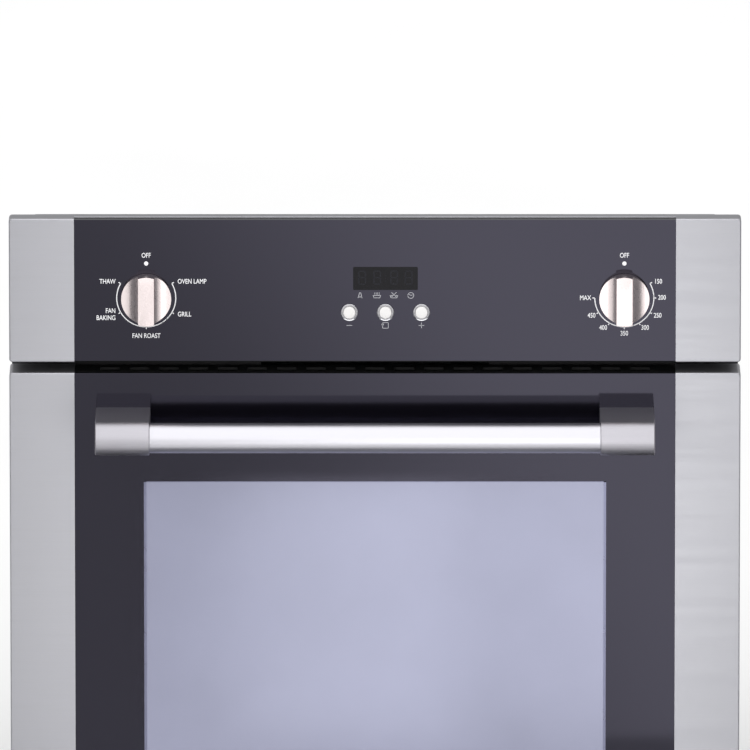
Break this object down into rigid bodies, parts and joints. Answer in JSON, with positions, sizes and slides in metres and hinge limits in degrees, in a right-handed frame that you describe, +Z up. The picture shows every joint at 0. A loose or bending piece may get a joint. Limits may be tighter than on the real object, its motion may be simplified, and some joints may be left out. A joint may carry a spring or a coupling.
{
  "type": "wall oven",
  "caption": "Built-in wall oven with a black glass control panel, two knobs, a clock display and push buttons, and a drop-down glass door with a bar handle.",
  "frame": {"origin": "middle of the oven's box, at the level of the casing's underside", "axes": "+Z up, front facing -Y, +X to the right as seen from the front"},
  "size_m": [0.595, 0.6686, 0.595],
  "materials": {
    "galvanised": "satin",
    "frame_steel": "satin",
    "enamel": "gloss",
    "insulation": "matte",
    "heater": "satin",
    "ceramic": "gloss",
    "lamp_glass": "gloss",
    "chrome_wire": "polished",
    "gasket": "matte",
    "motor": "satin",
    "fan_metal": "satin",
    "black_plastic": "matte",
    "panel_black_glass": "gloss",
    "brushed_strip": "brushed",
    "switch_body": "matte",
    "copper": "satin",
    "board": "satin",
    "display": "gloss",
    "bezel_chrome": "polished",
    "button_white": "satin",
    "knob_satin": "satin",
    "steel": "satin",
    "clear_glass": "gloss",
    "handle_polished": "polished",
    "handle_bracket": "satin"
  },
  "bodies": {
    "chassis": {"casing_base": "galvanised", "casing_left_side": "galvanised", "casing_right_side": "galvanised", "casing_top_cover": "galvanised", "casing_back_panel": "galvanised", "casing_screws": "steel", "front_frame": "frame_steel", "cavity_liner": "enamel", "cavity_insulation": "insulation", "cavity_top_deck": "galvanised", "fan_cover": "enamel", "ring_element": "heater", "broil_element": "heater", "bake_element": "heater", "lamp_holder": "ceramic", "lamp_bulb": "lamp_glass", "lamp_lens": "lamp_glass", "rack_ladders": "chrome_wire", "door_gasket": "gasket", "convection_motor": "motor", "blower_housing": "galvanised", "blower_motor": "motor", "vent_grille": "black_plastic", "panel_carrier": "black_plastic", "panel_glass": "panel_black_glass", "panel_side_strips": "brushed_strip", "panel_top_trim": "brushed_strip", "selector_switch": "switch_body", "thermostat": "motor", "thermostat_bulb": "copper", "timer_module": "board", "timer_display": "display", "button_bezels": "bezel_chrome", "terminal_block": "ceramic", "cable_gland": "black_plastic", "hinge_receivers": "steel", "hinge_arms": "steel"},
    "door": {"door_outer_glass": "panel_black_glass", "door_side_strips": "brushed_strip", "door_rails": "black_plastic", "door_side_channels": "steel", "door_middle_glass": "clear_glass", "door_inner_glass": "clear_glass", "handle_bar": "handle_polished", "handle_ends": "handle_bracket", "handle_screws": "steel", "hinge_cases": "steel", "hinge_pins": "steel", "hinge_springs": "steel"},
    "function_control": {"function_knob": "knob_satin", "function_spindle": "steel"},
    "temperature_control": {"temperature_knob": "knob_satin", "temperature_spindle": "steel"},
    "button_minus": {"button_minus": "button_white"},
    "button_menu": {"button_menu": "button_white"},
    "button_plus": {"button_plus": "button_white"},
    "convection_fan": {"convection_fan": "fan_metal"},
    "blower_wheel": {"blower_wheel": "fan_metal"},
    "wire_rack": {"wire_rack": "chrome_wire"},
    "baking_tray": {"baking_tray": "enamel"}
  },
  "joints": [
    {"name": "door_hinge", "type": "hinge", "parent": "chassis", "child": "door", "pos_m": [0, -0.24235, 0.018], "axis": [1, 0, 0], "range_deg": [0, 90], "stiffness_Nm_per_rad": 6, "springref_deg": -28.65, "deforming": ["hinge_springs"]},
    {"name": "function_knob_turn", "type": "hinge", "parent": "chassis", "child": "function_control", "pos_m": [-0.1859, -0.26635, 0.5292], "axis": [0, 1, 0], "range_deg": [0, 300]},
    {"name": "temperature_knob_turn", "type": "hinge", "parent": "chassis", "child": "temperature_control", "pos_m": [0.2026, -0.26635, 0.5292], "axis": [0, 1, 0], "range_deg": [0, 270]},
    {"name": "button_minus_press", "type": "slide", "parent": "chassis", "child": "button_minus", "axis": [0, 1, 0], "range_m": [0, 0.0015], "stiffness_N_per_m": 300, "springref_m": -0.001},
    {"name": "button_menu_press", "type": "slide", "parent": "chassis", "child": "button_menu", "axis": [0, 1, 0], "range_m": [0, 0.0015], "stiffness_N_per_m": 300, "springref_m": -0.001},
    {"name": "button_plus_press", "type": "slide", "parent": "chassis", "child": "button_plus", "axis": [0, 1, 0], "range_m": [0, 0.0015], "stiffness_N_per_m": 300, "springref_m": -0.001},
    {"name": "convection_fan_spin", "type": "hinge", "parent": "chassis", "child": "convection_fan", "pos_m": [0, 0.17965, 0.255], "axis": [0, 1, 0], "continuous": true},
    {"name": "blower_spin", "type": "hinge", "parent": "chassis", "child": "blower_wheel", "pos_m": [0, -0.02635, 0.4962], "axis": [1, 0, 0], "continuous": true},
    {"name": "wire_rack_slide", "type": "slide", "parent": "chassis", "child": "wire_rack", "axis": [0, -1, 0], "range_m": [0, 0.015]},
    {"name": "baking_tray_slide", "type": "slide", "parent": "chassis", "child": "baking_tray", "axis": [0, -1, 0], "range_m": [0, 0.015]}
  ]
}
